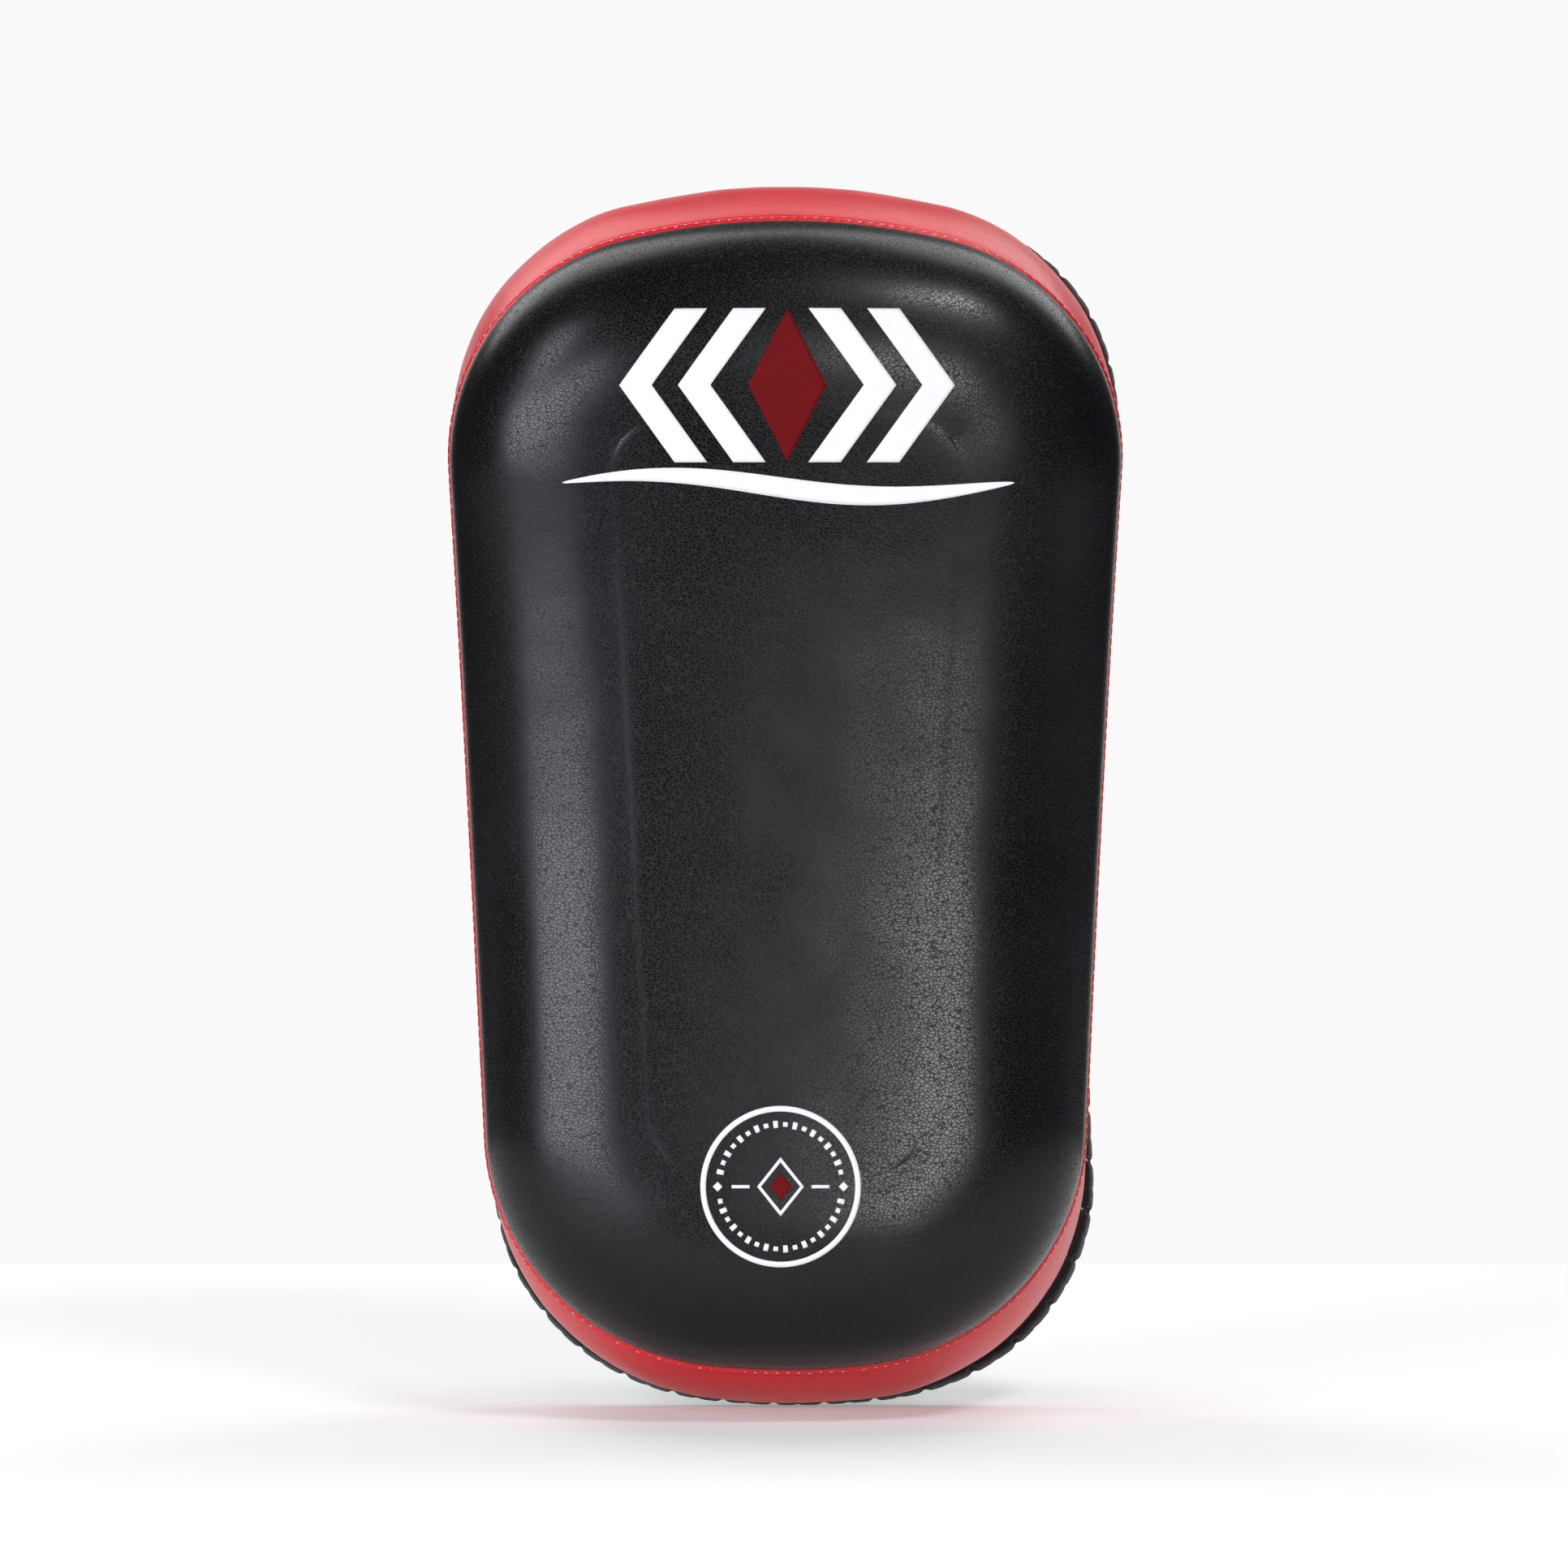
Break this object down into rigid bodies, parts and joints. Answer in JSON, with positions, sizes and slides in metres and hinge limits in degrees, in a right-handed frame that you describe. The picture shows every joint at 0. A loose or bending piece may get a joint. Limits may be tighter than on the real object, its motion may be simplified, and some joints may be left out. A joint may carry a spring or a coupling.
{
  "type": "thai pad",
  "caption": "Bent, padded kick shield with a leather striking face, a contrasting side band, a padded hand grip and two ring-and-flap forearm straps behind it.",
  "frame": {"origin": "middle of the hand grip's padded bar", "axes": "+Z along the pad towards its top end, +Y out of the back towards the wearer, -Y out of the striking face, +X across the pad"},
  "size_m": [0.2144, 0.1945, 0.3908],
  "materials": {
    "face_leather": "satin",
    "red_leather": "gloss",
    "back_leather": "satin",
    "strap_leather": "satin",
    "grip_leather": "satin",
    "binding_tape": "matte",
    "loop_fleece": "matte",
    "hook_tape": "matte",
    "soft_foam": "matte",
    "firm_foam": "matte",
    "steel": "polished"
  },
  "bodies": {
    "pad": {"face_cover": "face_leather", "strike_foam": "soft_foam", "core_foam": "firm_foam", "back_foam": "firm_foam", "back_panel": "back_leather", "seam_welt": "red_leather", "side_band": "red_leather", "edge_binding": "binding_tape", "cushion_cover": "back_leather", "cushion_foam": "soft_foam", "grip_strap": "strap_leather", "grip_sleeve": "grip_leather", "grip_filler": "firm_foam", "grip_patch_left": "strap_leather", "grip_patch_right": "strap_leather", "grip_rivets": "steel", "grip_washers": "steel", "upper_strap": "strap_leather", "upper_loop_patch": "loop_fleece", "upper_keeper_tab": "strap_leather", "upper_anchor_patch": "strap_leather", "upper_rivets": "steel", "upper_washers": "steel", "lower_strap": "strap_leather", "lower_loop_patch": "loop_fleece", "lower_keeper_tab": "strap_leather", "lower_anchor_patch": "strap_leather", "lower_rivets": "steel", "lower_washers": "steel"},
    "ring_upper": {"upper_ring": "steel"},
    "flap_upper": {"upper_flap": "strap_leather", "upper_hook_patch": "hook_tape"},
    "ring_lower": {"lower_ring": "steel"},
    "flap_lower": {"lower_flap": "strap_leather", "lower_hook_patch": "hook_tape"}
  },
  "joints": [
    {"name": "ring_swivel_upper", "type": "hinge", "parent": "pad", "child": "ring_upper", "pos_m": [0.068, -0.03646, -0.11477], "axis": [0, 0.0067, -1], "range_deg": [0, 15]},
    {"name": "flap_peel_upper", "type": "hinge", "parent": "pad", "child": "flap_upper", "pos_m": [0.05938, -0.00449, -0.11456], "axis": [0, 0.0067, -1], "range_deg": [0, 120]},
    {"name": "ring_swivel_lower", "type": "hinge", "parent": "pad", "child": "ring_lower", "pos_m": [0.068, -0.04324, -0.22069], "axis": [0, -0.1342, -0.991], "range_deg": [0, 15]},
    {"name": "flap_peel_lower", "type": "hinge", "parent": "pad", "child": "flap_lower", "pos_m": [0.05938, -0.01156, -0.22498], "axis": [0, -0.1342, -0.991], "range_deg": [0, 120]}
  ]
}
